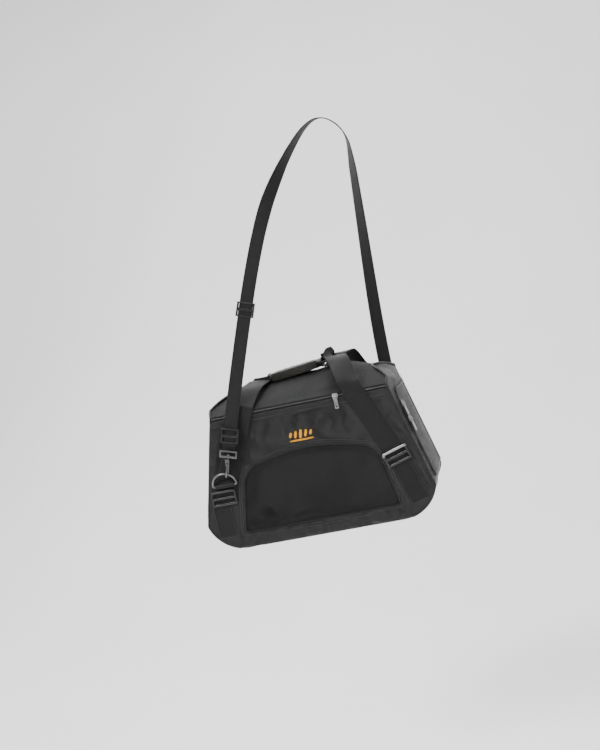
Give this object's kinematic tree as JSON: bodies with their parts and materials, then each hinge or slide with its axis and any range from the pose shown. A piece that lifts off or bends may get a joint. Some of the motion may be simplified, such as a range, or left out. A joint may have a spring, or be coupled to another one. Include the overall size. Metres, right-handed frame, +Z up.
{
  "type": "pet carrier bag",
  "caption": "Soft-sided pet carrier with mesh windows and end doors, two webbing handles and a clip-on shoulder strap.",
  "frame": {"origin": "centre of the base on the floor, the shoulder strap and its hardware left out", "axes": "+Z up, +X along the bag's length to its right, the front faces -Y"},
  "size_m": [0.434, 0.2472, 0.7404],
  "materials": {
    "shell_fabric": "woven polyester, charcoal black",
    "mesh": "ribbed breathable mesh, black",
    "piping": "covered cord, black",
    "zipper_tape": "coil zipper tape, black",
    "webbing": "ribbed nylon webbing, black",
    "grip_padding": "padded, matt",
    "mat_fabric": "quilted fleece, grey",
    "board": "stiff sheet",
    "rod": "glass fibre",
    "zipper_metal": "silver, satin",
    "hardware_metal": "dark nickel"
  },
  "bodies": {
    "carrier": {"back_bar_buckles": "hardware_metal", "back_handle_webbing": "webbing", "back_hook_eye": "hardware_metal", "back_left_webbing": "webbing", "back_panel": "shell_fabric", "back_piping": "piping", "back_right_webbing": "webbing", "back_ring_tab": "webbing", "back_strap_buckle": "hardware_metal", "back_top_seam_tape": "zipper_tape", "back_window_binding": "piping", "back_window_mesh": "mesh", "base_board": "board", "base_panel": "shell_fabric", "frame_rods": "rod", "front_handle_webbing": "webbing", "front_hook_eye": "hardware_metal", "front_left_bar_buckle": "hardware_metal", "front_left_webbing": "webbing", "front_panel": "shell_fabric", "front_piping": "piping", "front_right_bar_buckle": "hardware_metal", "front_right_webbing": "webbing", "front_ring_tab": "webbing", "front_strap_buckle": "hardware_metal", "front_top_zip_tape": "zipper_tape", "front_window_binding": "piping", "front_window_mesh": "mesh", "grip_wrap": "grip_padding", "left_arch_piping": "piping", "left_end_panel": "shell_fabric", "left_end_zip_tape": "zipper_tape", "right_arch_piping": "piping", "right_end_panel": "shell_fabric", "right_end_zip_tape": "zipper_tape", "shoulder_strap": "webbing", "top_panel": "shell_fabric"},
    "left_door": {"left_door_mesh": "mesh", "left_door_zip_tape": "zipper_tape"},
    "right_door": {"right_door_mesh": "mesh", "right_door_zip_tape": "zipper_tape"},
    "front_ring": {"front_ring": "hardware_metal"},
    "back_ring": {"back_ring": "hardware_metal"},
    "front_hook": {"front_hook": "hardware_metal"},
    "back_hook": {"back_hook": "hardware_metal"},
    "front_hook_gate": {"front_hook_gate": "hardware_metal"},
    "back_hook_gate": {"back_hook_gate": "hardware_metal"},
    "top_zip_slider": {"top_zip_slider": "zipper_metal"},
    "top_zip_pull": {"top_zip_pull": "zipper_metal"},
    "grip_wrap_flap": {"grip_wrap_flap": "grip_padding"},
    "padded_mat": {"padded_mat": "mat_fabric"},
    "strap_length_slider": {"strap_length_slider": "hardware_metal"},
    "right_upper_slider": {"right_upper_slider": "zipper_metal"},
    "right_upper_pull": {"right_upper_pull": "zipper_metal"},
    "right_lower_slider": {"right_lower_slider": "zipper_metal"},
    "right_lower_pull": {"right_lower_pull": "zipper_metal"},
    "left_upper_slider": {"left_upper_slider": "zipper_metal"},
    "left_upper_pull": {"left_upper_pull": "zipper_metal"},
    "left_lower_slider": {"left_lower_slider": "zipper_metal"},
    "left_lower_pull": {"left_lower_pull": "zipper_metal"}
  },
  "joints": [
    {"name": "right_door_fold", "type": "hinge", "parent": "carrier", "child": "right_door", "pos_m": [0.2163, 0, 0.062], "axis": [0, 1, 0], "range_deg": [0, 115]},
    {"name": "left_door_fold", "type": "hinge", "parent": "carrier", "child": "left_door", "pos_m": [-0.2163, 0, 0.062], "axis": [0, -1, 0], "range_deg": [0, 115]},
    {"name": "right_upper_zip", "type": "slide", "parent": "right_door", "child": "right_upper_slider", "axis": [-0.2419, 0, 0.9703], "range_m": [0, 0.006]},
    {"name": "left_upper_zip", "type": "slide", "parent": "left_door", "child": "left_upper_slider", "axis": [0.2419, 0, 0.9703], "range_m": [0, 0.006]},
    {"name": "right_upper_pull_swing", "type": "hinge", "parent": "right_upper_slider", "child": "right_upper_pull", "pos_m": [0.18538, -0.07683, 0.20554], "axis": [-0.1797, -0.9827, -0.0448], "range_deg": [0, 100]},
    {"name": "left_upper_pull_swing", "type": "hinge", "parent": "left_upper_slider", "child": "left_upper_pull", "pos_m": [-0.18538, 0.07683, 0.20554], "axis": [0.1797, 0.9827, -0.0448], "range_deg": [0, 100]},
    {"name": "right_lower_zip", "type": "slide", "parent": "right_door", "child": "right_lower_slider", "axis": [-0.2419, 0, 0.9703], "range_m": [-0.085, 0]},
    {"name": "left_lower_zip", "type": "slide", "parent": "left_door", "child": "left_lower_slider", "axis": [0.2419, 0, 0.9703], "range_m": [-0.085, 0]},
    {"name": "right_lower_pull_swing", "type": "hinge", "parent": "right_lower_slider", "child": "right_lower_pull", "pos_m": [0.19287, -0.07683, 0.17546], "axis": [-0.1797, -0.9827, -0.0448], "range_deg": [0, 100]},
    {"name": "left_lower_pull_swing", "type": "hinge", "parent": "left_lower_slider", "child": "left_lower_pull", "pos_m": [-0.19287, 0.07683, 0.17546], "axis": [0.1797, 0.9827, -0.0448], "range_deg": [0, 100]},
    {"name": "top_zip", "type": "slide", "parent": "carrier", "child": "top_zip_slider", "axis": [-1, 0, 0], "range_m": [-0.004, 0.13]},
    {"name": "top_pull_swing", "type": "hinge", "parent": "top_zip_slider", "child": "top_zip_pull", "pos_m": [0.07, -0.10855, 0.245], "axis": [-1, 0, 0], "range_deg": [0, 100]},
    {"name": "front_ring_swing", "type": "hinge", "parent": "carrier", "child": "front_ring", "pos_m": [-0.164, -0.1076, 0.122], "axis": [1, 0, 0], "range_deg": [-2, 2]},
    {"name": "back_ring_swing", "type": "hinge", "parent": "carrier", "child": "back_ring", "pos_m": [0.164, 0.1076, 0.122], "axis": [-1, 0, 0], "range_deg": [-2, 2]},
    {"name": "front_hook_swivel", "type": "hinge", "parent": "carrier", "child": "front_hook", "pos_m": [-0.154, -0.11458, 0.14349], "axis": [0.289, 0, 0.9573], "range_deg": [-5, 5]},
    {"name": "front_gate_spring", "type": "hinge", "parent": "front_hook", "child": "front_hook_gate", "pos_m": [-0.1481, -0.12158, 0.16302], "axis": [0.9573, 0, -0.289], "range_deg": [0, 18], "stiffness_Nm_per_rad": 0.01, "springref_deg": -11.46},
    {"name": "back_hook_swivel", "type": "hinge", "parent": "carrier", "child": "back_hook", "pos_m": [0.154, 0.11458, 0.14349], "axis": [-0.0906, 0, 0.9959], "range_deg": [-5, 5]},
    {"name": "back_gate_spring", "type": "hinge", "parent": "back_hook", "child": "back_hook_gate", "pos_m": [0.15215, 0.12158, 0.16381], "axis": [-0.9959, 0, -0.0906], "range_deg": [0, 18], "stiffness_Nm_per_rad": 0.01, "springref_deg": -11.46},
    {"name": "grip_flap_fold", "type": "hinge", "parent": "carrier", "child": "grip_wrap_flap", "pos_m": [-0.00778, -0.0235, 0.30196], "axis": [-0.9945, 0, -0.1045], "range_deg": [0, 120]},
    {"name": "mat_lift", "type": "slide", "parent": "carrier", "child": "padded_mat", "axis": [0, 0, 1], "range_m": [0, 0.1]},
    {"name": "strap_length", "type": "slide", "parent": "carrier", "child": "strap_length_slider", "axis": [0.3285, 0.1443, 0.9334], "range_m": [-0.05, 0.04]}
  ]
}
